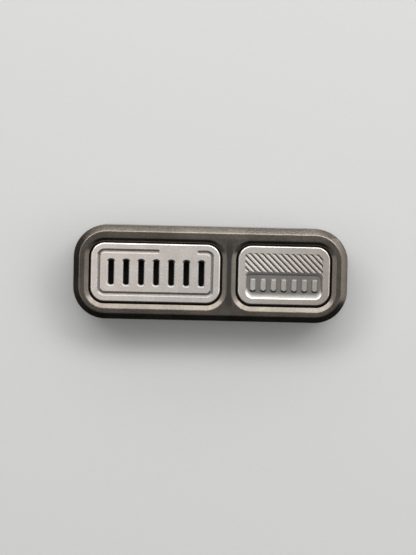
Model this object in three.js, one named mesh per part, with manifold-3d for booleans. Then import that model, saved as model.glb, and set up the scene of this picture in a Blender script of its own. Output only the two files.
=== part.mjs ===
// Pocket fidget slider: two machined halves, held face to face by magnets, that slide along
// each other from one magnetic stop to the next. Each half is a dark frame with two panels let
// into its outer face, and a pair of glide rails keeps the halves in line.
// Millimetres. X runs along the slider, Y across it and Z up, out of the front face.
// The origin is at the centre of the rear face, on which the slider lies.
import * as THREE from "three";
import { mergeVertices } from "three/addons/utils/BufferGeometryUtils.js";
import Module from "manifold-3d";

const wasm = await Module();
wasm.setup();

// Frames
const LENGTH = 56;
const WIDTH = 19.2;
const HALF_HEIGHT = 5.5; // one half, from its sliding face to its outer face
const PARTING_GAP = 0.2; // between the two sliding faces
const CORNER_RADIUS = 6.65;
const OUTER_CHAMFER = 1.3;
const OUTER_CHAMFER_DEPTH = 0.65;
const PARTING_EDGE_BREAK = 0.25;
const RIM_WIDTH = 0.8; // flat rim outside the windows
const BRIDGE_WIDTH = 0.65; // flat bar between the two windows
const WINDOW_CHAMFER = 1.1;
const WINDOW_CHAMFER_DEPTH = 0.42;
const FLOOR_WEB = 0.55; // metal left between the magnets and the panels

// Panels
const PANEL_GAP = 0.35; // shows all round a panel
const PANEL_CORNER_RADIUS = 2.85;
const PANEL_EDGE = 0.3;
const PANEL_PROUD = 0.15; // front panels stand out of the frame
const PANEL_SUNK = 0.15; // rear panels stay clear of the table
const PANEL_SEAT_CLEARANCE = 0.05;
const SHORT_PANEL_LENGTH = 18.85;

// Border groove and vent slots of the long front panel
const GROOVE_MARGIN = 1.2;
const GROOVE_WIDTH = 1;
const GROOVE_DEPTH = 0.3;
const GROOVE_WALL_RUN = 0.38; // each wall of the groove leans in by this much
const GROOVE_BREAK_LENGTH = 7.6; // plain stretch where the groove is interrupted
const GROOVE_BREAK_END = 4.8; // from the end of the break to the panel's right end
const SLOT_WIDTH = 1.05;
const SLOT_CHAMFER = 0.3;
const SLOT_PITCH = 3.07;
const SLOT_MARGIN = 1; // from the groove to the slots' chamfers

// Hatching, thumb pocket and grip ribs of the short front panel
const POCKET_SIDE_MARGIN = 1.5;
const POCKET_BOTTOM_MARGIN = 1.15;
const POCKET_HEIGHT = 5.75;
const POCKET_DEPTH = 0.3;
const POCKET_SIDE_RUN = 0.42; // how far the walls at the two ends lean in
const POCKET_TOP_RUN = 0.85; // the same for the wall towards +Y
const POCKET_RAMP_RUN = 1.35; // and for the hollow ramp towards -Y
const POCKET_RAMP_POWER = 1.4; // how hollow the ramp is; 1 would be flat
const POCKET_CORNER_RADIUS = 1.5;
const HATCH_TOP_MARGIN = 1.55;
const HATCH_RUNOUT = 0.15; // how far the cuts run past the pocket's upper edge
const HATCH_PITCH = 0.887; // square to the cuts
const HATCH_CUT_WIDTH = 0.6;
const HATCH_CUT_DEPTH = 0.22;
const HATCH_SHIFT = -0.3; // of the middle cut, from the middle of the hatching
const HATCH_ANGLE = -Math.PI / 4;
const RIB_WIDTH = 1.3;
const RIB_PITCH = 2.1;
const RIB_MARGIN = 1.45; // from a rib's end to the pocket's edge
const RIB_SIDE_MARGIN = 0.9;
const RIB_HEIGHT = 0.28;
const RIB_WALL_RUN = 0.37;
const RIB_ROOT = 0.2; // sunk into the pocket's floor

// Magnets
const MAGNET_DIAMETER = 6;
const MAGNET_HEIGHT = 2;
const MAGNET_EDGE = 0.2;
const MAGNET_PITCH = 9;
const MAGNETS_PER_HALF = 5;
const MAGNET_CLEARANCE = 0.1;
const MAGNET_RECESS = 0.1; // below the sliding face

// Panel screws
const SCREW_DIAMETER = 1.6;
const SCREW_HEAD_DIAMETER = 2.8;
const SCREW_HEAD_HEIGHT = 0.9;
const SCREW_HEAD_RIM = 0.2;
const SCREW_COVER = 1; // metal left above a screw, under the pocket
const SCREW_TIP_CHAMFER = 0.25;
const SCREW_CLEARANCE = 0.08;
const SCREW_RECESS = 0.05; // below the sliding face
const SCREW_EDGE_DISTANCE = 1.75; // from a panel's long edge to its screws
const SOCKET_ACROSS_CORNERS = 1.2;
const SOCKET_DEPTH = 0.55;

// Glide rails
const RAIL_LENGTH = 10;
const RAIL_WIDTH = 1.5;
const RAIL_SEAT_DEPTH = 1.2;
const RAIL_PROUD = 1; // above the rear half's sliding face
const RAIL_EDGE = 0.15;
const RAIL_EDGE_DISTANCE = 2.6; // from the frame's long edge to the rail's middle
const RAIL_CLEARANCE = 0.1;
const STOPS_EACH_WAY = 2; // magnetic stops on each side of the middle

// Fineness of round shapes, and how far a cutter reaches past the face that it opens
const CORNER_STEPS = 10;
const SMALL_CORNER_STEPS = 6;
const SMALL_CORNER = 2; // radius below which a corner takes the smaller number of steps
const SHARPEST_CORNER = 0.1;
const RAMP_STEPS = 4;
const ROUND_STEPS = 24;
const HEX_SIDES = 6;
const OVERCUT = 1;
const MERGE_DISTANCE = 1e-4;

// Sizes that follow from the ones above
const border = OUTER_CHAMFER + RIM_WIDTH + WINDOW_CHAMFER + PANEL_GAP;
const divider = BRIDGE_WIDTH + 2 * (WINDOW_CHAMFER + PANEL_GAP);
const panelWidth = WIDTH - 2 * border;
const longPanelLength = LENGTH - 2 * border - divider - SHORT_PANEL_LENGTH;
const longPanel = { length: longPanelLength, x: -LENGTH / 2 + border + longPanelLength / 2 };
const shortPanel = { length: SHORT_PANEL_LENGTH, x: LENGTH / 2 - border - SHORT_PANEL_LENGTH / 2 };
const magnetTop = MAGNET_RECESS + MAGNET_HEIGHT;
const floorThickness = magnetTop + MAGNET_CLEARANCE + FLOOR_WEB;
const panelSeat = floorThickness + PANEL_SEAT_CLEARANCE;
const frontPanelHeight = HALF_HEIGHT + PANEL_PROUD - panelSeat;
const rearPanelHeight = HALF_HEIGHT - PANEL_SUNK - panelSeat;
const magnetPlaces = spread(MAGNETS_PER_HALF, MAGNET_PITCH);
const screwX = (magnetPlaces.at(-1) + magnetPlaces.at(-2)) / 2;
const screwY = panelWidth / 2 - SCREW_EDGE_DISTANCE;
const screwPlaces = [-1, 1].flatMap((i) => [-1, 1].map((j) => [i * screwX, j * screwY]));
const screwTip = panelSeat + frontPanelHeight - POCKET_DEPTH - SCREW_COVER;
const travel = STOPS_EACH_WAY * MAGNET_PITCH;
const railPlaces = [-1, 1].map((side) => side * (WIDTH / 2 - RAIL_EDGE_DISTANCE));

// Finishes
const darkMetal = finish(0x4a4641, 0.38, 1);
const blastedSteel = finish(0xb5aea8, 0.42, 1);
const nickel = finish(0xc9c6bf, 0.22, 1);
const screwSteel = finish(0x8d8a86, 0.3, 1);
const glidePolymer = finish(0xb79a6d, 0.55, 0);

function finish(color, roughness, metalness) {
  return new THREE.MeshStandardMaterial({ color, roughness, metalness, flatShading: true });
}

// Evenly spaced places about zero.
function spread(count, pitch) {
  return Array.from({ length: count }, (_, i) => (i - (count - 1) / 2) * pitch);
}

// How many pieces of a given width and pitch fit in a length.
function countThatFits(room, width, pitch) {
  return Math.floor((room - width) / pitch) + 1;
}

// Outline of a rectangle with round corners, counter-clockwise.
function roundedRectangle(length, width, radius, steps) {
  const x = length / 2 - radius;
  const y = width / 2 - radius;
  const corners = [[x, y], [-x, y], [-x, -y], [x, -y]];
  return corners.flatMap(([cornerX, cornerY], i) => {
    const start = (i * Math.PI) / 2;
    const end = start + Math.PI / 2;
    return new THREE.EllipseCurve(cornerX, cornerY, radius, radius, start, end).getPoints(steps);
  });
}

// Closed solid through rounded rectangles at rising heights. Each level is [height, growth],
// where growth widens the outline on all sides, so a change of growth makes a chamfer. Two more
// numbers may move the outline's upper and lower half along Y.
function lofted(length, width, radius, levels) {
  const steps = radius < SMALL_CORNER ? SMALL_CORNER_STEPS : CORNER_STEPS;
  const rings = levels.map(([z, growth, upper = 0, lower = 0]) => {
    const corner = Math.max(radius + growth, SHARPEST_CORNER);
    const outline = roundedRectangle(length + 2 * growth, width + 2 * growth, corner, steps);
    return { z, points: outline.map((p) => p.setY(p.y + (p.y > 0 ? upper : lower))) };
  });
  const count = rings[0].points.length;
  const positions = rings.flatMap(({ z, points }) => points.flatMap((p) => [p.x, p.y, z]));
  const index = [];
  for (let ring = 0; ring < rings.length - 1; ring++) {
    for (let i = 0; i < count; i++) {
      const a = ring * count + i;
      const b = ring * count + ((i + 1) % count);
      index.push(a, b, b + count, a, b + count, a + count);
    }
  }
  const top = (rings.length - 1) * count;
  for (const [a, b, c] of THREE.ShapeUtils.triangulateShape(rings[0].points, [])) {
    index.push(a, c, b, top + a, top + b, top + c);
  }
  const geometry = new THREE.BufferGeometry();
  geometry.setAttribute("position", new THREE.Float32BufferAttribute(positions, 3));
  geometry.setIndex(index);
  return geometry;
}

// Solid of revolution about Z from [radius, height] pairs that start and end on the axis.
function revolved(profile, steps = ROUND_STEPS) {
  const points = profile.map(([radius, height]) => new THREE.Vector2(radius, height));
  return new THREE.LatheGeometry(points, steps).rotateX(Math.PI / 2);
}

function cylinder(diameter, from, to, steps = ROUND_STEPS) {
  const radius = diameter / 2;
  return revolved([[0, from], [radius, from], [radius, to], [0, to]], steps);
}

function box(xRange, yRange, zRange) {
  const [size, middle] = [xRange, yRange, zRange].reduce(
    ([sizes, middles], [from, to]) => [[...sizes, to - from], [...middles, (from + to) / 2]],
    [[], []],
  );
  return new THREE.BoxGeometry(...size).translate(...middle);
}

function solid(geometry) {
  const bare = new THREE.BufferGeometry();
  bare.setAttribute("position", geometry.getAttribute("position"));
  bare.setIndex(geometry.getIndex());
  const merged = mergeVertices(bare, MERGE_DISTANCE);
  return new wasm.Manifold(
    new wasm.Mesh({
      numProp: 3,
      vertProperties: merged.attributes.position.array,
      triVerts: new Uint32Array(merged.index.array),
    }),
  );
}

function cut(base, cutters) {
  return cutters.reduce((left, cutter) => left.subtract(cutter), base);
}

function joined(solids) {
  return solids.reduce((sum, one) => sum.add(one));
}

function piece(name, made, material) {
  const { vertProperties, triVerts } = made.getMesh();
  const geometry = new THREE.BufferGeometry();
  geometry.setAttribute("position", new THREE.BufferAttribute(vertProperties, 3));
  geometry.setIndex(new THREE.BufferAttribute(triVerts, 1));
  geometry.computeVertexNormals();
  const mesh = new THREE.Mesh(geometry, material);
  mesh.name = name;
  return mesh;
}

// Every piece of a half is made with its sliding face at z = 0 and its outer face up.

// Frame of one half: chamfered block, two chamfered windows, magnet wells and screw holes.
// Its track is the pair of straight pockets that hold or guide the glide rails.
function frame(trackLength, trackDepth) {
  const block = lofted(LENGTH, WIDTH, CORNER_RADIUS, [
    [0, -PARTING_EDGE_BREAK],
    [PARTING_EDGE_BREAK, 0],
    [HALF_HEIGHT - OUTER_CHAMFER_DEPTH, 0],
    [HALF_HEIGHT, -OUTER_CHAMFER],
  ]);
  const windows = [longPanel, shortPanel].map(windowCutter);
  const wells = magnetPlaces.map((x) =>
    cylinder(MAGNET_DIAMETER + 2 * MAGNET_CLEARANCE, -OVERCUT, magnetTop + MAGNET_CLEARANCE)
      .translate(x, 0, 0),
  );
  const holes = screwPlaces.map(([x, y]) => screwHole().translate(x, y, 0));
  const tracks = railPlaces.map((y) =>
    lofted(trackLength, RAIL_WIDTH + 2 * RAIL_CLEARANCE, RAIL_WIDTH / 2 + RAIL_CLEARANCE, [
      [-OVERCUT, 0],
      [trackDepth, 0],
    ]).translate(0, y, 0),
  );
  return cut(solid(block), [...windows, ...wells, ...holes, ...tracks].map(solid));
}

// The window's chamfer carries on past the outer face, so that it opens cleanly.
function windowCutter({ length, x }) {
  const slope = WINDOW_CHAMFER / WINDOW_CHAMFER_DEPTH;
  return lofted(length, panelWidth, PANEL_CORNER_RADIUS, [
    [floorThickness, PANEL_GAP],
    [HALF_HEIGHT - WINDOW_CHAMFER_DEPTH, PANEL_GAP],
    [HALF_HEIGHT + OVERCUT, PANEL_GAP + WINDOW_CHAMFER + OVERCUT * slope],
  ]).translate(x, 0, 0);
}

// Countersunk hole through the floor, which follows the screw with a clearance.
function screwHole() {
  const shank = SCREW_DIAMETER / 2 + SCREW_CLEARANCE;
  const head = SCREW_HEAD_DIAMETER / 2 + SCREW_CLEARANCE;
  const rimTop = SCREW_RECESS + SCREW_HEAD_RIM + SCREW_CLEARANCE;
  const headTop = SCREW_RECESS + SCREW_HEAD_HEIGHT + SCREW_CLEARANCE;
  return revolved([
    [0, -OVERCUT],
    [head, -OVERCUT],
    [head, rimTop],
    [shank, headTop],
    [shank, floorThickness + OVERCUT],
    [0, floorThickness + OVERCUT],
  ]);
}

// Blank of a panel on its seat, with blind holes for the two screws that reach it.
function panelBlank({ length, x }, height) {
  const blank = lofted(length, panelWidth, PANEL_CORNER_RADIUS, [
    [panelSeat, 0],
    [panelSeat + height - PANEL_EDGE, 0],
    [panelSeat + height, -PANEL_EDGE],
  ]).translate(x, 0, 0);
  const diameter = SCREW_DIAMETER + 2 * SCREW_CLEARANCE;
  const holes = screwPlaces
    .filter(([screw]) => Math.abs(screw - x) < length / 2)
    .map(([screw, y]) =>
      cylinder(diameter, panelSeat - OVERCUT, screwTip + SCREW_CLEARANCE).translate(screw, y, 0),
    );
  return cut(solid(blank), holes.map(solid));
}

// Long front panel: a border groove with one plain stretch, round a row of vent slots.
function ventPanel() {
  const { length, x } = longPanel;
  const face = panelSeat + frontPanelHeight;
  const platform = GROOVE_MARGIN + GROOVE_WIDTH;
  const platformLength = length - 2 * platform;
  const platformWidth = panelWidth - 2 * platform;
  const slope = GROOVE_WALL_RUN / GROOVE_DEPTH;
  const outside = lofted(length, panelWidth, PANEL_CORNER_RADIUS, [
    [face - GROOVE_DEPTH, -GROOVE_MARGIN - GROOVE_WALL_RUN],
    [face + OVERCUT, -GROOVE_MARGIN + OVERCUT * slope],
  ]);
  const island = lofted(length, panelWidth, PANEL_CORNER_RADIUS, [
    [face - GROOVE_DEPTH - OVERCUT, -platform + GROOVE_WALL_RUN + OVERCUT * slope],
    [face, -platform],
    [face + OVERCUT, -platform],
  ]);
  const breakEnd = length / 2 - GROOVE_BREAK_END;
  const bridge = box(
    [breakEnd - GROOVE_BREAK_LENGTH, breakEnd],
    [0, panelWidth],
    [face - GROOVE_DEPTH - OVERCUT, face + 2 * OVERCUT],
  );
  const groove = cut(solid(outside), [solid(island), solid(bridge)]).translate([x, 0, 0]);
  const slotRoom = platformLength - 2 * SLOT_MARGIN;
  const slotCount = countThatFits(slotRoom, SLOT_WIDTH + 2 * SLOT_CHAMFER, SLOT_PITCH);
  const slots = spread(slotCount, SLOT_PITCH).map((slot) =>
    lofted(SLOT_WIDTH, platformWidth - 2 * (SLOT_MARGIN + SLOT_CHAMFER), SLOT_WIDTH / 2, [
      [panelSeat - OVERCUT, 0],
      [face - SLOT_CHAMFER, 0],
      [face + OVERCUT, SLOT_CHAMFER + OVERCUT],
    ]).translate(x + slot, 0, 0),
  );
  return cut(panelBlank(longPanel, frontPanelHeight), [groove, ...slots.map(solid)]);
}

// Short front panel: slanting V cuts above a thumb pocket, whose floor carries a row of ribs.
function hatchedPanel() {
  const { length, x } = shortPanel;
  const face = panelSeat + frontPanelHeight;
  const pocketLength = length - 2 * POCKET_SIDE_MARGIN;
  const pocketY = -panelWidth / 2 + POCKET_BOTTOM_MARGIN + POCKET_HEIGHT / 2;
  const made = cut(panelBlank(shortPanel, frontPanelHeight), [
    solid(thumbPocket(pocketLength, face).translate(x, pocketY, 0)),
    hatching(pocketLength, pocketY + POCKET_HEIGHT / 2, face).translate([x, 0, 0]),
  ]);
  const ribLength = POCKET_HEIGHT - 2 * RIB_MARGIN;
  const ribRoom = pocketLength - 2 * RIB_SIDE_MARGIN;
  const ribFoot = face - POCKET_DEPTH;
  const ribs = spread(countThatFits(ribRoom, RIB_WIDTH, RIB_PITCH), RIB_PITCH).map((rib) =>
    lofted(RIB_WIDTH, ribLength, RIB_WIDTH / 2, [
      [ribFoot - RIB_ROOT, 0],
      [ribFoot, 0],
      [ribFoot + RIB_HEIGHT, -RIB_WALL_RUN],
    ]).translate(x + rib, pocketY, 0),
  );
  return joined([made, ...ribs.map(solid)]);
}

// Thumb pocket: straight walls, the one towards +Y less steep, and a hollow ramp towards -Y.
function thumbPocket(length, face) {
  const levels = [[face + OVERCUT, 0]];
  for (let step = 0; step <= RAMP_STEPS; step++) {
    const share = 1 - (1 - step / RAMP_STEPS) ** POCKET_RAMP_POWER;
    const sideRun = POCKET_SIDE_RUN * share;
    const topRun = POCKET_TOP_RUN * share;
    const rampRun = (POCKET_RAMP_RUN * step) / RAMP_STEPS;
    levels.push([face - POCKET_DEPTH * share, -sideRun, sideRun - topRun, rampRun - sideRun]);
  }
  return lofted(length, POCKET_HEIGHT, POCKET_CORNER_RADIUS, levels.reverse());
}

// V cuts at a slant, cropped to a rectangle from which they run out into the pocket's upper wall.
function hatching(areaLength, pocketTop, face) {
  const top = panelWidth / 2 - HATCH_TOP_MARGIN;
  const bottom = pocketTop - HATCH_RUNOUT;
  const area = box(
    [-areaLength / 2, areaLength / 2],
    [bottom, top],
    [face - 2 * HATCH_CUT_DEPTH, face + OVERCUT],
  );
  const reach = areaLength + top - bottom;
  const slope = HATCH_CUT_WIDTH / 2 / HATCH_CUT_DEPTH;
  const section = new THREE.Shape([
    new THREE.Vector2(0, -HATCH_CUT_DEPTH),
    new THREE.Vector2((HATCH_CUT_DEPTH + OVERCUT) * slope, OVERCUT),
    new THREE.Vector2(-(HATCH_CUT_DEPTH + OVERCUT) * slope, OVERCUT),
  ]);
  const cutsEachSide = Math.ceil(reach / 2 / HATCH_PITCH);
  const cuts = spread(2 * cutsEachSide + 1, HATCH_PITCH).map((side) =>
    new THREE.ExtrudeGeometry(section, { depth: reach, bevelEnabled: false })
      .translate(0, 0, -reach / 2)
      .rotateX(Math.PI / 2)
      .rotateZ(Math.PI / 2)
      .translate(0, side + HATCH_SHIFT, face)
      .rotateZ(HATCH_ANGLE)
      .translate(0, (top + bottom) / 2, 0),
  );
  return joined(cuts.map(solid)).intersect(solid(area));
}

// Disc magnet in its well, with a small edge round both faces.
function magnet(x) {
  const radius = MAGNET_DIAMETER / 2;
  const disc = revolved([
    [0, MAGNET_RECESS],
    [radius - MAGNET_EDGE, MAGNET_RECESS],
    [radius, MAGNET_RECESS + MAGNET_EDGE],
    [radius, magnetTop - MAGNET_EDGE],
    [radius - MAGNET_EDGE, magnetTop],
    [0, magnetTop],
  ]);
  return solid(disc.translate(x, 0, 0));
}

// Countersunk screw with a hexagon socket, driven up from the sliding face into a panel.
function screw([x, y]) {
  const shank = SCREW_DIAMETER / 2;
  const head = SCREW_HEAD_DIAMETER / 2;
  const body = revolved([
    [0, SCREW_RECESS],
    [head, SCREW_RECESS],
    [head, SCREW_RECESS + SCREW_HEAD_RIM],
    [shank, SCREW_RECESS + SCREW_HEAD_HEIGHT],
    [shank, screwTip - SCREW_TIP_CHAMFER],
    [shank - SCREW_TIP_CHAMFER, screwTip],
    [0, screwTip],
  ]);
  const socket = cylinder(SOCKET_ACROSS_CORNERS, -OVERCUT, SCREW_RECESS + SOCKET_DEPTH, HEX_SIDES);
  return cut(solid(body), [solid(socket)]).translate([x, y, 0]);
}

// Glide rail, seated in the rear frame and standing out of its sliding face.
function glideRail(y) {
  const rail = lofted(RAIL_LENGTH, RAIL_WIDTH, RAIL_WIDTH / 2, [
    [-RAIL_PROUD, -RAIL_EDGE],
    [-RAIL_PROUD + RAIL_EDGE, 0],
    [RAIL_SEAT_DEPTH, 0],
  ]);
  return solid(rail.translate(0, y, 0));
}

// Magnets and screws are the same in both halves.
function addHardware(half, side) {
  magnetPlaces.forEach((x, i) => half.add(piece(`${side}_magnet_${i + 1}`, magnet(x), nickel)));
  screwPlaces.forEach((at, i) => half.add(piece(`${side}_screw_${i + 1}`, screw(at), screwSteel)));
}

const frontHalf = new THREE.Group();
const guideLength = RAIL_LENGTH + 2 * (travel + RAIL_CLEARANCE);
const guideDepth = RAIL_PROUD - PARTING_GAP + RAIL_CLEARANCE;
frontHalf.add(piece("front_frame", frame(guideLength, guideDepth), darkMetal));
frontHalf.add(piece("vent_panel", ventPanel(), blastedSteel));
frontHalf.add(piece("hatched_panel", hatchedPanel(), blastedSteel));
addHardware(frontHalf, "front");
frontHalf.position.z = HALF_HEIGHT + PARTING_GAP;

// The rear half is turned over, so that its outer face looks down.
const rearHalf = new THREE.Group();
const seatLength = RAIL_LENGTH + 2 * RAIL_CLEARANCE;
const seatDepth = RAIL_SEAT_DEPTH + RAIL_CLEARANCE;
rearHalf.add(piece("rear_frame", frame(seatLength, seatDepth), darkMetal));
rearHalf.add(piece("rear_long_panel", panelBlank(longPanel, rearPanelHeight), blastedSteel));
rearHalf.add(piece("rear_short_panel", panelBlank(shortPanel, rearPanelHeight), blastedSteel));
railPlaces.forEach((y, i) => {
  rearHalf.add(piece(`glide_rail_${i + 1}`, glideRail(y), glidePolymer));
});
addHardware(rearHalf, "rear");
rearHalf.rotation.x = Math.PI;
rearHalf.position.z = HALF_HEIGHT;

const slider = new THREE.Group();
slider.add(rearHalf, frontHalf);

export default slider;
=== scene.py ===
"""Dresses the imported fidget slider: two machined halves with their panels, magnets, screws and rails."""
import math

import bmesh
import bpy
from mathutils import Matrix, Vector


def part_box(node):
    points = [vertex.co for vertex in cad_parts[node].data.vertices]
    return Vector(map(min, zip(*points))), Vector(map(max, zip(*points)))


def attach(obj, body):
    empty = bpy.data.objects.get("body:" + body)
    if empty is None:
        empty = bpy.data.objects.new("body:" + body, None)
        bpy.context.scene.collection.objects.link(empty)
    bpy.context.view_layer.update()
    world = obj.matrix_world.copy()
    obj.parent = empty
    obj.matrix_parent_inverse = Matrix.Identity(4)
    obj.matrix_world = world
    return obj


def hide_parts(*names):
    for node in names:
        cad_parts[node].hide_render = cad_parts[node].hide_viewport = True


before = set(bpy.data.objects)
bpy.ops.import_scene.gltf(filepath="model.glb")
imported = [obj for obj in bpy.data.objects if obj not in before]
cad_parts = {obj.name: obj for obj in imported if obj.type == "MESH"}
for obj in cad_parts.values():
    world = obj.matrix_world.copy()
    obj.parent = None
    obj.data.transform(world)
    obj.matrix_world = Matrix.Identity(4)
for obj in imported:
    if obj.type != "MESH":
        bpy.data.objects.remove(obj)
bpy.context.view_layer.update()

MM = 0.001

# Frames
CORNER_RADIUS = 6.65 * MM
OUTER_CHAMFER = 1.3 * MM
OUTER_CHAMFER_DEPTH = 0.65 * MM
PARTING_EDGE_BREAK = 0.25 * MM
WINDOW_CHAMFER = 1.1 * MM
WINDOW_CHAMFER_DEPTH = 0.42 * MM
WINDOW_RADIUS = 3.2 * MM
FACE_EDGE_ROUND = 0.2 * MM
WALL_EDGE_ROUND = 0.15 * MM
WINDOW_EDGE_ROUND = 0.1 * MM
WINDOW_TOP_SHARE = 0.78  # width of a window's upper chamfer, as a share of the others
WINDOW_TOP_SHIFT = 0.2 * MM  # how far the upper side of a window stands in

# Panels
PANEL_GAP = 0.35 * MM
PANEL_SEAT_CLEARANCE = 0.05 * MM
PANEL_RADIUS = 2.85 * MM
PANEL_EDGE = 0.35 * MM
PANEL_EDGE_STEPS = 5

# Border groove and vent slots of the long front panel
GROOVE_MARGIN = 1.24 * MM
GROOVE_WIDTH = 0.92 * MM
GROOVE_DEPTH = 0.335 * MM
GROOVE_WALL_RUN = 0.43 * MM
GROOVE_BREAK_LENGTH = 7.6 * MM
GROOVE_BREAK_END = 4.8 * MM
SLOT_COUNT = 7
SLOT_PITCH = 3.07 * MM
SLOT_SHIFT = 0.15 * MM  # of the whole row, from the middle of the panel
SLOT_MOUTH_WIDTH = 1.75 * MM
SLOT_MOUTH_LENGTH = 5.7 * MM
SLOT_CHAMFER = 0.3 * MM
SLOT_CHAMFER_DEPTH = 0.22 * MM

# Hatching, thumb pocket and grip ribs of the short front panel
POCKET_SIDE_MARGIN = 1.5 * MM
POCKET_BOTTOM_MARGIN = 1.15 * MM
POCKET_HEIGHT = 5.75 * MM
POCKET_DEPTH = 0.3 * MM
POCKET_SIDE_RUN = 0.42 * MM
POCKET_TOP_RUN = 0.85 * MM
POCKET_RAMP_RUN = 1.35 * MM
POCKET_RAMP_STEPS = 8
POCKET_RAMP_POWER = 1.3  # how hollow the ramp is; 1 would be flat
POCKET_RADIUS = 1.7 * MM
POCKET_TOP_RADIUS = 1.2 * MM
HATCH_TOP_MARGIN = 1.55 * MM
HATCH_RUNOUT = 0.15 * MM
HATCH_PITCH = 0.887 * MM
HATCH_WIDTH = 0.6 * MM
HATCH_DEPTH = 0.22 * MM
HATCH_OVERSIZE = 1.4  # diagonal of a cutting bar, as a share of the cut's width
HATCH_ANGLE = -math.pi / 4
HATCH_SHIFT = -0.22 * MM  # of the middle cut, from the middle of the hatching
HATCH_SHORTEST = 0.5 * MM
RIB_COUNT = 7
RIB_PITCH = 2.1 * MM
RIB_WIDTH = 1.4 * MM
RIB_LENGTH = 2.85 * MM
RIB_HEIGHT = 0.28 * MM
RIB_WALL_RUN = 0.35 * MM
RIB_ROOT = 0.2 * MM

# Magnets, screws and rails
WELL_CLEARANCE = 0.1 * MM
WELL_EDGE = 0.15 * MM
MAGNET_EDGE = 0.2 * MM
SCREW_SHANK_RADIUS = 0.8 * MM
SCREW_HEAD_HEIGHT = 0.9 * MM
SCREW_HEAD_RIM = 0.2 * MM
SCREW_HEAD_EDGE = 0.06 * MM
SCREW_TIP_CHAMFER = 0.25 * MM
SCREW_CLEARANCE = 0.08 * MM
SOCKET_RADIUS = 0.6 * MM
SOCKET_DEPTH = 0.55 * MM
SOCKET_SIDES = 6
RAIL_CLEARANCE = 0.1 * MM
RAIL_EDGE = 0.15 * MM
TRACK_TRAVEL = 18 * MM
TRACK_DEPTH = 0.9 * MM
MAGNETS_PER_HALF = 5
SCREWS_PER_HALF = 4
RAILS = 2

# Dark coat: base colours of its grain, the share of them where a painted sheen lightens the upper side, and
# the darker places
COAT_TONES = ((0.066, 0.058, 0.0495), (0.118, 0.103, 0.087))
COAT_GRAIN_SHARE = 0.55  # of the mottle; the rest is the slow drift
COAT_DRIFT_SIZE = 6 * MM
COAT_BUMP = 0.003 * MM
# painted sheen: how much lighter the coat is painted on the upper right
COAT_SHEEN_SHARE = 1.35
COAT_SHEEN_ACROSS = (7 * MM, 7.5 * MM)  # above the middle, where the painted sheen starts and is full
COAT_SHEEN_ALONG = (-34 * MM, 11 * MM)  # the same, to the right of the bridge
BRIDGE_TONE = (0.058, 0.056, 0.051)
BRIDGE_REACH_X = (0.9 * MM, 0.4 * MM)  # from the bridge's middle, where its tone starts and is full
BRIDGE_REACH_Y = (8 * MM, 5 * MM)
# painted shade: the seats seen in the gaps round the panels, and nearly black where a seat shows through
# the slots
SEAT_SHADE_TONE = (0.06, 0.056, 0.05)
SLOT_SHADE_TONE = (0.013, 0.013, 0.013)

# Blasted panels: base colours at the upper left and the lower right, and the painted shade in the recesses
VENT_TONES = ((0.7, 0.634, 0.583), (0.585, 0.548, 0.515))
HATCHED_TONES = ((0.575, 0.535, 0.5), (0.39, 0.347, 0.309))
# painted shade in the panels' recesses: the groove's and the pocket's darker tones
GROOVE_SHADE_TONE = (0.29, 0.274, 0.262)
POCKET_SHADE_TONE = (0.196, 0.192, 0.182)
BLASTED_MOTTLE = (0.92, 1.06)  # shares of the tone between which it varies
STIPPLE_SHARE = 0.6  # of the mottle; the rest is clouds
CLOUD_SIZE = 2.5 * MM
BLASTED_BUMP = 0.002 * MM
RECESS_SHADE_REACH = 0.25 * MM  # depth at which the painted recess shade is full

# Other materials: base colours at both ends of their grain, its size and the height of its bump
NICKEL_TONES = ((0.62, 0.6, 0.56), (0.7, 0.68, 0.64))
NICKEL_HAZE_SIZE = 0.8 * MM
STEEL_TONES = ((0.3, 0.295, 0.29), (0.4, 0.395, 0.385))
STEEL_GRAIN = 0.1 * MM
STEEL_BUMP = 0.008 * MM
POLYMER_TONES = ((0.42, 0.29, 0.15), (0.5, 0.36, 0.2))
POLYMER_BUMP = 0.01 * MM
FLOOR_TONES = ((0.42, 0.42, 0.415), (0.45, 0.45, 0.445))
FLOOR_SPECK = 0.5 * MM

# Noise
FINE_GRAIN = 0.3 * MM
FINE_DETAIL = 3
NOISE_LOW = 0.3  # noise seldom leaves the stretch between these two
NOISE_HIGH = 0.7

# Modelling
CORNER_SEGMENTS = 16
SMALL_CORNER_SEGMENTS = 8
ROUND_SIDES = 48
ROUND_STEPS = 3
SMALL_ROUND_STEPS = 2
OVERCUT = 0.5 * MM
CROP_REACH = 1 * MM  # how far a block that crops a tool goes past the face
WINDOW_LIFT = 0.015 * MM
NEAR = 0.001 * MM
WELD_REACH = 3 * NEAR
LEVEL = 0.9  # a face that looks up or down has at least this much of its normal along Z
SHARP_ANGLE = math.radians(20)
SMOOTH_ANGLE = math.radians(32)
FULL_ROUND = 0.88  # corner radius of a round end, as a share of half its width

# Camera: the photograph looks almost straight down on the front face
PHOTO_WIDTH = 416
PHOTO_HEIGHT = 555
SLIDER_CENTRE = (210.3, 274.2)  # in pixels, from the upper left
SLIDER_LENGTH_PIXELS = 274.6
CAMERA_ROLL = math.radians(1.27)
CAMERA_TILT = math.radians(2.5)
CAMERA_DISTANCE = 0.4
CAMERA_CLIP_START = 0.01

# Studio
FLOOR_SIZE = 6
FLOOR_DROP = 0.01 * MM
WORLD_STRENGTH = 0.05
LAMP_DISTANCE = 0.8
KEY_AZIMUTHS = (53, 90, 127)


def activate(piece):
    bpy.ops.object.select_all(action="DESELECT")
    piece.select_set(True)
    bpy.context.view_layer.objects.active = piece


def settle(name):
    """Names the new primitive and puts its place into its mesh."""
    piece = bpy.context.object
    piece.name = name
    bpy.ops.object.transform_apply(location=True, rotation=True, scale=True)
    return piece


def cube(name, low, high):
    bpy.ops.mesh.primitive_cube_add(size=1, location=(low + high) / 2, scale=high - low)
    return settle(name)


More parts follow.
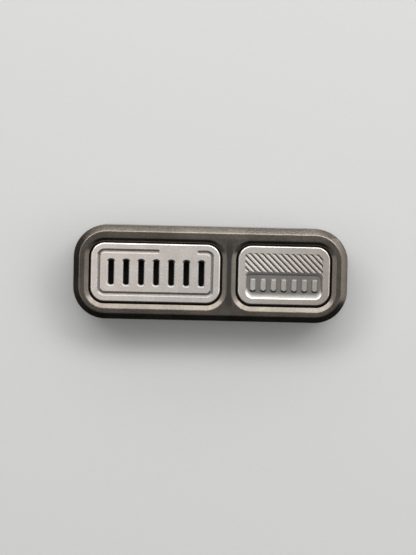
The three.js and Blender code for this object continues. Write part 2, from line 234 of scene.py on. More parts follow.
def cylinder(name, radius, low, high, sides=ROUND_SIDES):
    """Round bar on the Z axis."""
    bpy.ops.mesh.primitive_cylinder_add(
        vertices=sides, radius=radius, depth=high - low, location=(0, 0, (low + high) / 2)
    )
    return settle(name)


def choose(piece, kind, test):
    """Opens edit mode with only the points, edges or faces selected that pass the test."""
    activate(piece)
    bpy.ops.object.mode_set(mode="EDIT")
    bpy.ops.mesh.select_mode(type=kind)
    bpy.ops.mesh.select_all(action="DESELECT")
    shape = bmesh.from_edit_mesh(piece.data)
    elements = {"VERT": shape.verts, "EDGE": shape.edges, "FACE": shape.faces}
    for element in elements[kind]:
        element.select_set(test(element))
    shape.select_flush_mode()
    bmesh.update_edit_mesh(piece.data)


def close():
    bpy.ops.object.mode_set(mode="OBJECT")


def bevel(piece, test, width, segments=1):
    choose(piece, "EDGE", test)
    bpy.ops.mesh.bevel(offset=width, segments=segments, affect="EDGES")
    close()


def upright(edge):
    first, second = (vertex.co for vertex in edge.verts)
    return (first.xy - second.xy).length < NEAR


def outline_at(z):
    """Edges of the flat end at a height, where the walls meet it."""
    def test(edge):
        level = all(abs(vertex.co.z - z) < NEAR for vertex in edge.verts)
        return level and edge.calc_face_angle(0) > SHARP_ANGLE
    return test


def facing(direction):
    return lambda face: face.normal.z * direction > LEVEL


def extrude(length):
    """Extrudes the selected face along Z, in edit mode."""
    bpy.ops.mesh.extrude_region_move(TRANSFORM_OT_translate={"value": (0, 0, length)})


def push(piece, length):
    """Extrudes the upper end."""
    choose(piece, "FACE", facing(1))
    extrude(length)
    close()


def taper(piece, length, share):
    """Extrudes the upper end and narrows it to a share of its width."""
    choose(piece, "FACE", facing(1))
    extrude(length)
    ring = [vertex.co for vertex in bmesh.from_edit_mesh(piece.data).verts if vertex.select]
    middle = sum(ring, Vector()) / len(ring)
    bpy.ops.transform.resize(value=(share, share, 1), center_override=middle)
    close()


def rounded_bar(name, low, high, radius, segments=CORNER_SEGMENTS, top_radius=None):
    """Block with round upright corners. Those towards +Y may have a radius of their own."""
    piece = cube(name, low, high)
    middle = (low.y + high.y) / 2
    bevel(piece, lambda edge: upright(edge) and edge.verts[0].co.y < middle, radius, segments)
    bevel(piece, lambda edge: upright(edge) and edge.verts[0].co.y > middle, top_radius or radius, segments)
    return piece


def carve(piece, tools, operation="DIFFERENCE"):
    """Cuts the tools from a piece, or joins them to it, and removes them."""
    for tool in tools:
        modifier = piece.modifiers.new(operation.lower(), "BOOLEAN")
        modifier.operation = operation
        modifier.solver = "MANIFOLD"
        modifier.object = tool
        activate(piece)
        bpy.ops.object.modifier_apply(modifier=modifier.name)
        bpy.data.objects.remove(tool)


def weld(piece):
    """Merges points that cuts have left almost in one place."""
    choose(piece, "VERT", lambda vertex: True)
    bpy.ops.mesh.remove_doubles(threshold=WELD_REACH)
    close()


def merged(tools):
    """Joins separate tools into one object, so that one cut does for all."""
    activate(tools[0])
    for tool in tools:
        tool.select_set(True)
    bpy.ops.object.join()
    return tools[0]


def copied(piece, name, move):
    """A copy with its own mesh, moved by a matrix."""
    twin = piece.copy()
    twin.data = piece.data.copy()
    twin.name = name
    twin.data.transform(move)
    bpy.context.scene.collection.objects.link(twin)
    return twin


def row_of(piece, offsets):
    """Copies a piece along X, and removes it."""
    copies = [
        copied(piece, f"{piece.name}_{i + 1}", Matrix.Translation((offset, 0, 0)))
        for i, offset in enumerate(offsets)
    ]
    bpy.data.objects.remove(piece)
    return copies


def sinker(
    name, centre, size, radius, face, slopes, floor, out,
    segments=CORNER_SEGMENTS, top_radius=None, lift=OVERCUT,
):
    """Tool for an opening whose mouth has the given size and corner radius at the face. Each slope is the
    run and depth of one facet of its walls, from the face down. Below them the walls go straight to the
    floor. The first facet goes on above the face by the lift."""
    first_run, first_depth = slopes[0]
    growth = lift * first_run / first_depth
    half = Vector((size[0] / 2 + growth, size[1] / 2 + growth, 0))
    near = face + out * lift
    far = near + out * OVERCUT
    middle = Vector((centre[0], centre[1], 0))
    low = middle - half + Vector((0, 0, min(near, far)))
    high = middle + half + Vector((0, 0, max(near, far)))
    top = top_radius and top_radius + growth
    tool = rounded_bar(name, low, high, radius + growth, segments, top)
    choose(tool, "FACE", facing(-out))
    bpy.ops.mesh.inset(thickness=first_run + growth, depth=first_depth + lift)
    for run, depth in slopes[1:]:
        bpy.ops.mesh.inset(thickness=run, depth=depth)
    straight = out * (face - floor) - sum(depth for run, depth in slopes)
    if straight > NEAR:
        extrude(-out * straight)
    close()
    return tool


def shift_ring(tool, level, test, distance):
    """Moves the points at one height that pass the test along Y."""
    choose(tool, "VERT", lambda vertex: abs(vertex.co.z - level) < NEAR and test(vertex.co))
    bpy.ops.transform.translate(value=(0, distance, 0))
    close()


def polish(piece):
    """Smooth shading that keeps flat faces flat. The faces are weighed in square millimetres, because in
    square metres small ones would count as nothing."""
    activate(piece)
    bpy.ops.object.shade_smooth_by_angle(angle=SMOOTH_ANGLE)
    piece.data.transform(Matrix.Scale(1 / MM, 4))
    modifier = piece.modifiers.new("flat_faces", "WEIGHTED_NORMAL")
    modifier.keep_sharp = True
    bpy.ops.object.modifier_apply(modifier=modifier.name)
    piece.data.transform(Matrix.Scale(MM, 4))


def spread(count, pitch):
    return [(i - (count - 1) / 2) * pitch for i in range(count)]


def fit(piece, body, node, material):
    """Puts a finished piece in its CAD node's place."""
    piece.data.materials.clear()
    piece.data.materials.append(material)
    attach(piece, body)
    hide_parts(node)


def centre_of(node):
    low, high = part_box(node)
    return (low + high) / 2


def placing(node, level, out):
    """Move from the origin to a node's axis at a level, turned so that +Z looks out of its half."""
    middle = centre_of(node)
    move = Matrix.Translation((middle.x, middle.y, level))
    return move if out > 0 else move @ Matrix.Rotation(math.pi, 4, "X")


def numbered(stem, count):
    return [f"{stem}_{i + 1}" for i in range(count)]


def rounding(start, end, reach):
    """Facets of a round edge between two slopes, given as angles. The round reaches equally far on both."""
    radius = reach / math.tan((end - start) / 2)
    angles = [start + (end - start) * i / ROUND_STEPS for i in range(ROUND_STEPS + 1)]
    return [
        (radius * (math.sin(second) - math.sin(first)), radius * (math.cos(first) - math.cos(second)))
        for first, second in zip(angles, angles[1:])
    ]


def window_slopes():
    """The window's chamfer, with a round edge at the face and another at the upright wall."""
    angle = math.atan2(WINDOW_CHAMFER_DEPTH, WINDOW_CHAMFER)
    flat = math.hypot(WINDOW_CHAMFER, WINDOW_CHAMFER_DEPTH) - FACE_EDGE_ROUND - WINDOW_EDGE_ROUND
    chamfer = (flat * math.cos(angle), flat * math.sin(angle))
    upper = rounding(0, angle, FACE_EDGE_ROUND)
    lower = rounding(angle, math.pi / 2, WINDOW_EDGE_ROUND)
    return upper + [chamfer] + lower


def window_tool(panel, face, out):
    """Window with a chamfer all round. It is narrower on the upper side, which also stands further in."""
    low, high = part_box(panel)
    seat = low.z if out > 0 else high.z
    mouth = WINDOW_CHAMFER + FACE_EDGE_ROUND
    grow = 2 * (PANEL_GAP + mouth)
    size = (high.x - low.x + grow, high.y - low.y + grow)
    slopes = window_slopes()
    floor = seat - out * PANEL_SEAT_CLEARANCE
    middle = centre_of(panel)
    tool = sinker(
        "window_tool", middle, size, WINDOW_RADIUS + mouth, face, slopes, floor, out, lift=WINDOW_LIFT
    )
    first_run, first_depth = slopes[0]
    rings = [(mouth + WINDOW_LIFT * first_run / first_depth, face + out * WINDOW_LIFT)]
    offset, level = mouth, face
    for run, depth in slopes:
        offset -= run
        level -= out * depth
        rings.append((offset, level))
    rings.append((0, floor))
    for offset, level in rings:
        inwards = offset * (1 - WINDOW_TOP_SHARE) + WINDOW_TOP_SHIFT
        shift_ring(tool, level, lambda place: out * (place.y - middle.y) > 0, -out * inwards)
    return tool


def well_tool(magnet, sliding_face):
    """Round well for a magnet, open at the sliding face, which is at height 0 here."""
    low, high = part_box(magnet)
    radius = (high.x - low.x) / 2 + WELL_CLEARANCE
    depth = max(abs(low.z - sliding_face), abs(high.z - sliding_face)) + WELL_CLEARANCE
    tool = cylinder("well_tool", radius, -OVERCUT, depth)
    bevel(tool, outline_at(depth), WELL_EDGE)
    return tool


def countersink_tool(screw, sliding_face):
    """Hole for a panel screw: a straight head rim, a cone and a shank hole, from the sliding face at 0."""
    low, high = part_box(screw)
    head = (high.x - low.x) / 2 + SCREW_CLEARANCE
    sunk = min(abs(low.z - sliding_face), abs(high.z - sliding_face))
    rim = sunk + SCREW_HEAD_RIM + SCREW_CLEARANCE
    tool = cylinder("countersink_tool", head, -OVERCUT, rim)
    shank = SCREW_SHANK_RADIUS + SCREW_CLEARANCE
    taper(tool, SCREW_HEAD_HEIGHT - SCREW_HEAD_RIM, shank / head)
    push(tool, high.z - low.z)
    return tool


def sunk_copies(tool, nodes, sliding_face, out):
    """Copies a tool to each node's axis at the sliding face, and removes it."""
    copies = [copied(tool, f"{tool.name}_{node}", placing(node, sliding_face, out)) for node in nodes]
    bpy.data.objects.remove(tool)
    return copies


def track_tool(rail, length, depth):
    """Straight pocket with round ends, open at the sliding face, which is at height 0 here."""
    low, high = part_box(rail)
    half = Vector((length / 2, (high.y - low.y) / 2 + RAIL_CLEARANCE, 0))
    top = half + Vector((0, 0, depth))
    bottom = -half - Vector((0, 0, OVERCUT))
    return rounded_bar("track_tool", bottom, top, half.y * FULL_ROUND, SMALL_CORNER_SEGMENTS)


def make_frame(node, panels, side, out, track_length, track_depth, material):
    """One half's block: chamfered, windowed, and drilled from its sliding face."""
    low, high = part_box(node)
    face = high.z if out > 0 else low.z
    sliding_face = low.z if out > 0 else high.z
    wall_top = face - out * OUTER_CHAMFER_DEPTH
    if out > 0:
        high.z = wall_top
    else:
        low.z = wall_top
    piece = rounded_bar(f"{side}_frame_body", low, high, CORNER_RADIUS)
    choose(piece, "FACE", facing(out))
    bpy.ops.mesh.inset(thickness=OUTER_CHAMFER, depth=OUTER_CHAMFER_DEPTH)
    close()
    bevel(piece, outline_at(sliding_face), PARTING_EDGE_BREAK, SMALL_ROUND_STEPS)
    bevel(piece, outline_at(face), FACE_EDGE_ROUND, ROUND_STEPS)
    bevel(piece, outline_at(wall_top), WALL_EDGE_ROUND, SMALL_ROUND_STEPS)
    carve(piece, [merged([window_tool(panel, face, out) for panel in panels])])
    tools = {
        f"{side}_magnet": (MAGNETS_PER_HALF, well_tool(f"{side}_magnet_1", sliding_face)),
        f"{side}_screw": (SCREWS_PER_HALF, countersink_tool(f"{side}_screw_1", sliding_face)),
        "glide_rail": (RAILS, track_tool("glide_rail_1", track_length, track_depth)),
    }
    cuts = []
    for stem, (count, tool) in tools.items():
        cuts += sunk_copies(tool, numbered(stem, count), sliding_face, out)
    carve(piece, [merged(cuts)])
    polish(piece)
    fit(piece, f"{side}_half", node, material)


def panel_blank(name, node, out):
    low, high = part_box(node)
    piece = rounded_bar(name, low, high, PANEL_RADIUS)
    bevel(piece, outline_at(high.z if out > 0 else low.z), PANEL_EDGE, PANEL_EDGE_STEPS)
    return piece


def groove_tool(low, high):
    """Border groove: a sloping ring, left out along one plain stretch."""
    face = high.z
    middle = (low + high) / 2
    length, width = high.x - low.x, high.y - low.y
    margin = 2 * GROOVE_MARGIN
    ring = sinker(
        "groove_tool", middle, (length - margin, width - margin), PANEL_RADIUS - GROOVE_MARGIN, face,
        [(GROOVE_WALL_RUN, GROOVE_DEPTH)], face - GROOVE_DEPTH, 1, SMALL_CORNER_SEGMENTS,
    )
    inner = GROOVE_MARGIN + GROOVE_WIDTH
    slope = GROOVE_WALL_RUN / GROOVE_DEPTH
    sunk = GROOVE_DEPTH + OVERCUT
    foot = inner - slope * sunk
    island_low = Vector((low.x + foot, low.y + foot, face - sunk))
    island_high = Vector((high.x - foot, high.y - foot, face - sunk + NEAR))
    island = rounded_bar(
        "groove_island", island_low, island_high, PANEL_RADIUS - foot, SMALL_CORNER_SEGMENTS
    )
    choose(island, "FACE", facing(1))
    bpy.ops.mesh.inset(thickness=slope * sunk, depth=sunk)
    extrude(2 * OVERCUT + CROP_REACH)
    close()
    end = high.x - GROOVE_BREAK_END
    round_end = GROOVE_WIDTH / 2
    bridge = cube(
        "groove_bridge",
        Vector((end - GROOVE_BREAK_LENGTH - round_end, middle.y, face - CROP_REACH)),
        Vector((end + round_end, high.y, face + 2 * CROP_REACH)),
    )
    carve(ring, [island, bridge])
    return ring


def groove_end_tool(high):
    """Cones that round off the border groove, at both sides of its plain stretch. They stay a hair inside
    the groove's own walls and floor."""
    floor = high.z - GROOVE_DEPTH + NEAR
    top = high.z + OVERCUT
    round_end = GROOVE_WIDTH / 2
    foot = round_end - GROOVE_WALL_RUN
    mouth = foot + (top - floor) * GROOVE_WALL_RUN / GROOVE_DEPTH
    y = high.y - GROOVE_MARGIN - round_end
    end = high.x - GROOVE_BREAK_END
    cones = []
    for x in (end - GROOVE_BREAK_LENGTH - round_end, end + round_end):
        bpy.ops.mesh.primitive_cone_add(
            vertices=ROUND_SIDES, radius1=foot, radius2=mouth, depth=top - floor,
            location=(x, y, (floor + top) / 2),
        )
        cones.append(settle("groove_end"))
    return merged(cones)


def make_vent_panel(material):
    low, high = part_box("vent_panel")
    piece = panel_blank("vent_panel_plate", "vent_panel", 1)
    slot = sinker(
        "slot_tool", centre_of("vent_panel"), (SLOT_MOUTH_WIDTH, SLOT_MOUTH_LENGTH),
        SLOT_MOUTH_WIDTH / 2 * FULL_ROUND, high.z, [(SLOT_CHAMFER, SLOT_CHAMFER_DEPTH)],
        low.z - OVERCUT, 1, SMALL_CORNER_SEGMENTS,
    )
    slots = row_of(slot, [SLOT_SHIFT + offset for offset in spread(SLOT_COUNT, SLOT_PITCH)])
    carve(piece, [groove_tool(low, high), groove_end_tool(high), merged(slots)])
    weld(piece)
    polish(piece)
    fit(piece, "front_half", "vent_panel", material)


def hatch_tool(left, right, bottom, top, face):
    """Bars lying on edge at a slant, cropped to the hatched rectangle. Those that would only nick a corner
    of it are left out."""
    reach = right - left + top - bottom
    side = HATCH_WIDTH * HATCH_OVERSIZE / math.sqrt(2)
    bpy.ops.mesh.primitive_cube_add(size=1, rotation=(math.pi / 4, 0, 0), scale=(reach, side, side))
    bar = settle("hatch_bar")
    squash = 2 * HATCH_DEPTH / HATCH_WIDTH
    bar.scale.z = squash
    bar.rotation_euler.z = HATCH_ANGLE
    height = face - HATCH_DEPTH + squash * side / math.sqrt(2)
    bar.location = ((left + right) / 2, (bottom + top) / 2, height)
    activate(bar)
    bpy.ops.object.transform_apply(location=True, rotation=True, scale=True)
    each_side = math.ceil(reach / 2 / HATCH_PITCH)
    across = Vector((-math.sin(HATCH_ANGLE), math.cos(HATCH_ANGLE), 0))
    corner = reach / 2 * across.x - HATCH_SHORTEST / 2
    steps = [step + HATCH_SHIFT for step in spread(2 * each_side + 1, HATCH_PITCH)]
    bars = [
        copied(bar, f"hatch_bar_{i}", Matrix.Translation(across * step))
        for i, step in enumerate(steps)
        if abs(step) < corner
    ]
    bpy.data.objects.remove(bar)
    tool = merged(bars)
    area_low = Vector((left, bottom, face - CROP_REACH))
    area_high = Vector((right, top, face + CROP_REACH))
    area = cube("hatch_area", area_low, area_high)
    carve(tool, [area], "INTERSECT")
    return tool


def pocket_tool(middle, width, face):
    """Thumb pocket: straight walls, the one towards +Y less steep, and a hollow ramp towards -Y."""
    steps = [i / POCKET_RAMP_STEPS for i in range(POCKET_RAMP_STEPS + 1)]
    shares = [1 - (1 - step) ** POCKET_RAMP_POWER for step in steps]
    slopes = [
        (POCKET_SIDE_RUN * (second - first), POCKET_DEPTH * (second - first))
        for first, second in zip(shares, shares[1:])
    ]
    tool = sinker(
        "pocket_tool", middle, (width, POCKET_HEIGHT), POCKET_RADIUS, face, slopes, face - POCKET_DEPTH, 1,
        top_radius=POCKET_TOP_RADIUS,
    )
    for step, share in zip(steps[1:], shares[1:]):
        level = face - POCKET_DEPTH * share
        lower = POCKET_RAMP_RUN * step - POCKET_SIDE_RUN * share
        upper = (POCKET_SIDE_RUN - POCKET_TOP_RUN) * share
        shift_ring(tool, level, lambda place: place.y < middle[1], lower)
        shift_ring(tool, level, lambda place: place.y > middle[1], upper)
    return tool


def grip_rib(x, y, floor):
    """Rib with sloping walls that start below the floor."""
    slope = RIB_WALL_RUN / RIB_HEIGHT
    growth = RIB_ROOT * slope
    half = Vector((RIB_WIDTH / 2 + growth, RIB_LENGTH / 2 + growth, 0))
    root = Vector((x, y, floor - RIB_ROOT))
    foot = root - Vector((0, 0, RIB_ROOT))
    radius = RIB_WIDTH / 2 * FULL_ROUND + growth
    rib = rounded_bar("rib", foot - half, root + half, radius, SMALL_CORNER_SEGMENTS)
    choose(rib, "FACE", facing(1))
    bpy.ops.mesh.inset(thickness=RIB_WALL_RUN + growth, depth=RIB_HEIGHT + RIB_ROOT)
    close()
    return rib


def make_hatched_panel(material):
    low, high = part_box("hatched_panel")
    face = high.z
    piece = panel_blank("hatched_panel_plate", "hatched_panel", 1)
    left = low.x + POCKET_SIDE_MARGIN
    right = high.x - POCKET_SIDE_MARGIN
    middle_x = (left + right) / 2
    pocket_bottom = low.y + POCKET_BOTTOM_MARGIN
    pocket_y = pocket_bottom + POCKET_HEIGHT / 2
    pocket_top = pocket_bottom + POCKET_HEIGHT
    floor = face - POCKET_DEPTH
    pocket = pocket_tool((middle_x, pocket_y), right - left, face)
    hatch = hatch_tool(left, right, pocket_top - HATCH_RUNOUT, high.y - HATCH_TOP_MARGIN, face)
    carve(piece, [pocket, hatch])
    ribs = row_of(grip_rib(middle_x, pocket_y, floor), spread(RIB_COUNT, RIB_PITCH))
    carve(piece, [merged(ribs)], "UNION")
    polish(piece)
    fit(piece, "front_half", "hatched_panel", material)


def make_rear_panel(node, material):
    piece = panel_blank(f"{node}_plate", node, -1)
    polish(piece)
    fit(piece, "rear_half", node, material)


def magnet_disc():
    low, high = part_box("front_magnet_1")
    thickness = high.z - low.z
    piece = cylinder("magnet_disc", (high.x - low.x) / 2, 0, thickness)
    bevel(piece, lambda edge: not upright(edge), MAGNET_EDGE, ROUND_STEPS)
    polish(piece)
    return piece


def panel_screw():
    """Countersunk screw with a hexagon socket in its head, which is at height 0."""
    low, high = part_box("front_screw_1")
    head = (high.x - low.x) / 2
    length = high.z - low.z
    piece = cylinder("panel_screw", head, 0, SCREW_HEAD_RIM)
    taper(piece, SCREW_HEAD_HEIGHT - SCREW_HEAD_RIM, SCREW_SHANK_RADIUS / head)
    push(piece, length - SCREW_HEAD_HEIGHT)
    bevel(piece, outline_at(length), SCREW_TIP_CHAMFER)
    bevel(piece, outline_at(0), SCREW_HEAD_EDGE, SMALL_ROUND_STEPS)
    carve(piece, [cylinder("socket_tool", SOCKET_RADIUS, -OVERCUT, SOCKET_DEPTH, SOCKET_SIDES)])
    polish(piece)
    return piece


def glide_rail():
    """Strip with round ends, whose foot is at height 0."""
    low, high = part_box("glide_rail_1")
    half = Vector((high.x - low.x, high.y - low.y, 0)) / 2
    top = half + Vector((0, 0, high.z - low.z))
    piece = rounded_bar("glide_rail", -half, top, half.y * FULL_ROUND, SMALL_CORNER_SEGMENTS)
    bevel(piece, outline_at(top.z), RAIL_EDGE, SMALL_ROUND_STEPS)
    polish(piece)
    return piece


def set_copies(model, ending, nodes, body, out, material):
    """Puts a copy of a model in each node's place. The model's foot is at height 0 and it points out."""
    for node in nodes:
        low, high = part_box(node)
        foot = low.z if out > 0 else high.z
        fit(copied(model, f"{node}_{ending}", placing(node, foot, out)), body, node, material)


class Wire:
    """An output socket of a node tree. Sums and products of wires and numbers add Math nodes."""

    def __init__(self, tree, socket=None):
        self.tree = tree
        self.socket = socket

    def node(self, kind, settings=None, inputs=None, output=0):
        """Adds a node, sets its settings, then fills its inputs with values or wires."""
        made = self.tree.nodes.new(kind)
        for name, value in (settings or {}).items():
            setattr(made, name, value)
        for name, value in (inputs or {}).items():
            if isinstance(value, Wire):
                self.tree.links.new(value.socket, made.inputs[name])
            else:
                made.inputs[name].default_value = value
        return Wire(self.tree, made.outputs[output])

    def maths(self, operation, first, second):
        return self.node("ShaderNodeMath", {"operation": operation}, {0: first, 1: second})

    def __add__(self, other):
        return self.maths("ADD", self, other)

    def __radd__(self, other):
        return self.maths("ADD", other, self)

    def __sub__(self, other):
        return self.maths("SUBTRACT", self, other)

    def __rsub__(self, other):
        return self.maths("SUBTRACT", other, self)

    def __mul__(self, other):
        return self.maths("MULTIPLY", self, other)

    def __rmul__(self, other):
        return self.maths("MULTIPLY", other, self)


def new_material(name):
    """A bare Principled material, its shader node and a wire with the piece's own coordinates."""
    material = bpy.data.materials.new(name)
    material.use_nodes = True
    tree = material.node_tree
    shader = tree.nodes["Principled BSDF"]
    place = Wire(tree).node("ShaderNodeTexCoord", output="Object")
    return material, shader, place


def noise(place, size, detail=2):
    """Noise from 0 to 1 whose features have about the given size."""
    return place.node("ShaderNodeTexNoise", {}, {"Vector": place, "Scale": 1 / size, "Detail": detail})


def mottling(place, size, detail=2):
    """Noise stretched to the whole way from 0 to 1."""
    return ramp(noise(place, size, detail), NOISE_LOW, NOISE_HIGH)


def blend(factor, first, second):
    """Mixes two colours, each a wire or red, green and blue. The Mix node's sockets go by number, because
    those of its other data types have the same names."""
    first, second = (end if isinstance(end, Wire) else (*end, 1) for end in (first, second))
    colours = {0: factor, 6: first, 7: second}
    return factor.node("ShaderNodeMix", {"data_type": "RGBA"}, colours, output=2)


def shaded(colour, share):
    return tuple(channel * share for channel in colour)


def feed(shader, **sockets):
    """Connects wires to, or sets values on, the shader's sockets."""
    for name, value in sockets.items():
        socket = shader.inputs[name.replace("_", " ")]
        if isinstance(value, Wire):
            value.tree.links.new(value.socket, socket)
        else:
            socket.default_value = value


def bump(grain, height, strength):
    return grain.node("ShaderNodeBump", {}, {"Strength": strength, "Distance": height, "Height": grain})


def ramp(value, start, end):
    """Smooth step from 0 at start to 1 at end."""
    limits = {"Value": value, "From Min": start, "From Max": end}
    return value.node("ShaderNodeMapRange", {"interpolation_type": "SMOOTHSTEP"}, limits)


def part_of(place, axis):
    return place.node("ShaderNodeSeparateXYZ", {}, {"Vector": place}, axis)


def inside(place, axis, low, high):
    """1 between two planes of an axis, 0 outside them."""
    value = part_of(place, axis)
    return value.maths("GREATER_THAN", value, low) * value.maths("LESS_THAN", value, high)


def within(place, low, high):
    """1 inside a box, 0 outside it."""
    across = inside(place, "X", low.x, high.x) * inside(place, "Y", low.y, high.y)
    return across * inside(place, "Z", low.z, high.z)


def distance_from(place, axis, centre):
    value = part_of(place, axis)
    return value.maths("ABSOLUTE", value - centre, 0)


def dark_coat(name, seats, slotted_seat, bridge):
    """Dark hard coat on satin metal: fine grain and a slow drift in tone. A painted sheen makes it lighter
    along the upper side, towards the right, and it is darker on the bridge between the windows. On the
    panels' seats it is rougher and darker with painted shade, and it is painted nearly black as shade on
    the seat that shows through the slots."""
    material, shader, place = new_material(name)
    grain = mottling(place, FINE_GRAIN, FINE_DETAIL)
    drift = mottling(place, COAT_DRIFT_SIZE)
    seat = within(place, *seats)
    mottle = COAT_GRAIN_SHARE * grain + (1 - COAT_GRAIN_SHARE) * drift
    across = ramp(distance_from(place, "X", bridge.x), *BRIDGE_REACH_X)
    along = ramp(distance_from(place, "Y", bridge.y), *BRIDGE_REACH_Y)
    # painted sheen, lighter along the upper side and towards the right
    upper = ramp(part_of(place, "Y") - bridge.y, *COAT_SHEEN_ACROSS)
    right = ramp(part_of(place, "X") - bridge.x, *COAT_SHEEN_ALONG)
    plain = blend(mottle, *COAT_TONES)
    sheen_tone = blend(mottle, *(shaded(tone, COAT_SHEEN_SHARE) for tone in COAT_TONES))
    tone = blend(upper * right, plain, sheen_tone)
    tone = blend(across * along, tone, BRIDGE_TONE)
    # painted shade: darker on the panels' seats, nearly black on the seat under the slots
    tone = blend(seat, tone, SEAT_SHADE_TONE)
    feed(
        shader,
        Base_Color=blend(within(place, *slotted_seat), tone, SLOT_SHADE_TONE),
        Metallic=1.0,
        Roughness=0.19 + 0.04 * grain + 0.03 * drift + 0.4 * seat,
        Normal=bump(grain, COAT_BUMP, strength=0.12),
    )
    return material


def blasted_metal(name, node, out, first_tone, second_tone, recess_shade_tone):
    """Light bead blasted metal: a fine stipple, faint clouds, a tone that drifts from the upper left of its
    node to the lower right, and painted shade: a darker tone in the recesses."""
    material, shader, place = new_material(name)
    low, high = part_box(node)
    face = high.z if out > 0 else low.z
    stipple = mottling(place, FINE_GRAIN, FINE_DETAIL)
    clouds = mottling(place, CLOUD_SIZE)
    mottle = STIPPLE_SHARE * stipple + (1 - STIPPLE_SHARE) * clouds
    drift = ramp(part_of(place, "X") - part_of(place, "Y"), low.x - high.y, high.x - low.y)
    # painted shade: darker with depth below the face, up to the recess tone
    sunk = ramp(out * (face - part_of(place, "Z")), 0, RECESS_SHADE_REACH)
    tones = []
    for share in BLASTED_MOTTLE:
        plain = blend(drift, shaded(first_tone, share), shaded(second_tone, share))
        tones.append(blend(sunk, plain, shaded(recess_shade_tone, share)))
    feed(
        shader,
        Base_Color=blend(mottle, *tones),
        Metallic=1.0,
        Roughness=0.21 + 0.04 * stipple + 0.04 * clouds + 0.06 * sunk,
        Normal=bump(stipple, BLASTED_BUMP, strength=0.05),
    )
    return material


def plated_nickel():
    material, shader, place = new_material("plated_nickel")
    haze = noise(place, NICKEL_HAZE_SIZE, FINE_DETAIL)
    feed(
        shader,
        Base_Color=blend(haze, *NICKEL_TONES),
        Metallic=1.0,
        Roughness=0.14 + 0.12 * haze,
    )
    return material


def plain_steel():
    material, shader, place = new_material("plain_steel")
    grain = noise(place, STEEL_GRAIN, FINE_DETAIL)
    feed(
        shader,
        Base_Color=blend(grain, *STEEL_TONES),
        Metallic=1.0,
        Roughness=0.26 + 0.14 * grain,
        Normal=bump(grain, STEEL_BUMP, strength=0.2),
    )
    return material


def tan_polymer():
    material, shader, place = new_material("tan_polymer")
    grain = noise(place, FINE_GRAIN, FINE_DETAIL)
    feed(
        shader,
        Base_Color=blend(grain, *POLYMER_TONES),
        Roughness=0.45 + 0.15 * grain,
        Normal=bump(grain, POLYMER_BUMP, strength=0.2),
    )
    return material


def pale_floor():
    material, shader, place = new_material("pale_floor")
    speck = noise(place, FLOOR_SPECK)
    feed(shader, Base_Color=blend(speck, *FLOOR_TONES), Roughness=0.85)
    return material


def lay_floor():
    bpy.ops.mesh.primitive_plane_add(size=FLOOR_SIZE, location=(0, 0, -FLOOR_DROP))
    floor = bpy.context.object
    floor.name = "floor"
    floor.data.materials.append(pale_floor())


def softbox(name, azimuth, elevation, width, height, radiance, away=LAMP_DISTANCE):
    """Area lamp aimed at the slider. Azimuth is from +X towards +Y, and both angles are in degrees."""
    turn, lift = math.radians(azimuth), math.radians(elevation)
    outward = Vector((math.cos(turn) * math.cos(lift), math.sin(turn) * math.cos(lift), math.sin(lift)))
    bpy.ops.object.light_add(type="AREA", location=outward * away)
    lamp = bpy.context.object
    lamp.name = name
    lamp.rotation_euler = outward.to_track_quat("Z", "Y").to_euler()
    lamp.data.shape = "RECTANGLE"
    lamp.data.size = width
    lamp.data.size_y = height
    lamp.data.energy = radiance * math.pi * width * height


def light_studio():
    world = bpy.data.worlds.new("studio")
    bpy.context.scene.world = world
    world.use_nodes = True
    background = world.node_tree.nodes["Background"]
    background.inputs["Color"].default_value = (1, 1, 1, 1)
    background.inputs["Strength"].default_value = WORLD_STRENGTH
    for azimuth in KEY_AZIMUTHS:
        softbox(f"key_light_{azimuth}", azimuth, elevation=49.5, width=0.35, height=0.26, radiance=6.8)
    softbox("high_key_light", azimuth=90, elevation=67, width=1.6, height=0.23, radiance=1.25)
    softbox("low_key_light", azimuth=90, elevation=21, width=2.4, height=0.44, radiance=1.5)
    softbox("corner_light", azimuth=42, elevation=18, width=0.6, height=0.36, radiance=0.3)
    softbox("top_light", azimuth=270, elevation=87, width=1.0, height=0.5, radiance=0.69, away=0.9)
    softbox("fill_light", azimuth=270, elevation=60, width=1.2, height=0.36, radiance=0.5)
    softbox("right_light", azimuth=12, elevation=43.5, width=0.8, height=0.41, radiance=2.45)
    softbox("low_right_light", azimuth=0, elevation=15, width=0.5, height=0.28, radiance=0.85)
    softbox("left_light", azimuth=180, elevation=51, width=0.5, height=0.25, radiance=1.85)
    softbox("low_left_light", azimuth=180, elevation=13, width=0.5, height=0.24, radiance=1.1)


def place_camera():
    low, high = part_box("front_frame")
    pixel = (high.x - low.x) / SLIDER_LENGTH_PIXELS
    back = Vector((0, math.sin(CAMERA_TILT), math.cos(CAMERA_TILT)))
    rolled = Vector((math.cos(CAMERA_ROLL), math.sin(CAMERA_ROLL), 0))
    up = back.cross(rolled).normalized()
    right = up.cross(back)
    off_right = (SLIDER_CENTRE[0] - PHOTO_WIDTH / 2) * pixel
    off_up = (PHOTO_HEIGHT / 2 - SLIDER_CENTRE[1]) * pixel
    centre = Vector((0, 0, high.z))
    target = centre - right * off_right - up * off_up
    bpy.ops.object.camera_add()
    camera = bpy.context.object
    turn = Matrix((right, up, back)).transposed().to_4x4()
    camera.matrix_world = Matrix.Translation(target + back * CAMERA_DISTANCE) @ turn
    camera.data.lens = camera.data.sensor_width * CAMERA_DISTANCE / (PHOTO_HEIGHT * pixel)
    camera.data.clip_start = CAMERA_CLIP_START
    bpy.context.scene.camera = camera


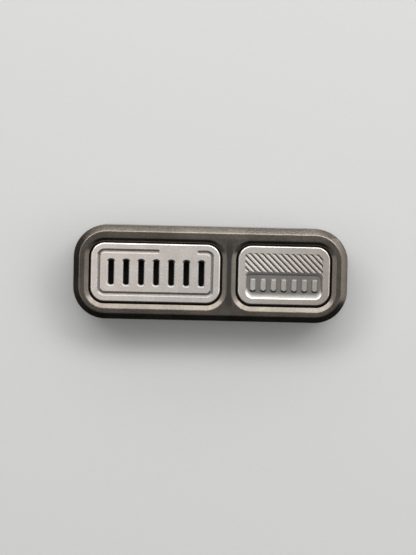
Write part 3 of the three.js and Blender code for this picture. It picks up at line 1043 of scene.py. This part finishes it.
def seat_space(panels, margin, out):
    """Box round the seats under panels that lie in a row, larger than the panels by the margin."""
    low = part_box(panels[0])[0]
    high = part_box(panels[-1])[1]
    level = low.z if out > 0 else high.z
    low -= Vector((margin, margin, 0))
    high += Vector((margin, margin, 0))
    low.z = level - OVERCUT
    high.z = level + OVERCUT
    return low, high


def build():
    sides = {
        "front": (1, ["vent_panel", "hatched_panel"]),
        "rear": (-1, ["rear_long_panel", "rear_short_panel"]),
    }
    rail_low, rail_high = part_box("glide_rail_1")
    seat_length = rail_high.x - rail_low.x + 2 * RAIL_CLEARANCE
    seat_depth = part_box("rear_frame")[1].z - rail_low.z + RAIL_CLEARANCE
    tracks = {"front": (seat_length + 2 * TRACK_TRAVEL, TRACK_DEPTH), "rear": (seat_length, seat_depth)}
    nickel = plated_nickel()
    steel = plain_steel()
    disc = magnet_disc()
    screw = panel_screw()
    for side, (out, panels) in sides.items():
        body = f"{side}_half"
        long_panel, short_panel = (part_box(panel) for panel in panels)
        bridge = (long_panel[1] + short_panel[0]) / 2
        bridge.y = centre_of(panels[0]).y
        seats = seat_space(panels, PANEL_GAP + WINDOW_EDGE_ROUND, out)
        slotted_seat = seat_space(panels[:1], -PANEL_RADIUS, out)
        coat = dark_coat(f"{side}_dark_coat", seats, slotted_seat, bridge)
        make_frame(f"{side}_frame", panels, side, out, *tracks[side], coat)
        magnets = numbered(f"{side}_magnet", MAGNETS_PER_HALF)
        screws = numbered(f"{side}_screw", SCREWS_PER_HALF)
        set_copies(disc, "disc", magnets, body, out, nickel)
        set_copies(screw, "body", screws, body, out, steel)
    rail = glide_rail()
    set_copies(rail, "strip", numbered("glide_rail", RAILS), "rear_half", 1, tan_polymer())
    for model in (disc, screw, rail):
        bpy.data.objects.remove(model)
    make_vent_panel(blasted_metal("light_blasted_metal", "vent_panel", 1, *VENT_TONES, GROOVE_SHADE_TONE))
    grey_metal = blasted_metal("grey_blasted_metal", "hatched_panel", 1, *HATCHED_TONES, POCKET_SHADE_TONE)
    make_hatched_panel(grey_metal)
    for node in sides["rear"][1]:
        make_rear_panel(node, blasted_metal(f"{node}_metal", node, -1, *VENT_TONES, GROOVE_SHADE_TONE))


build()
lay_floor()
light_studio()
place_camera()
bpy.context.scene.view_settings.view_transform = "Standard"
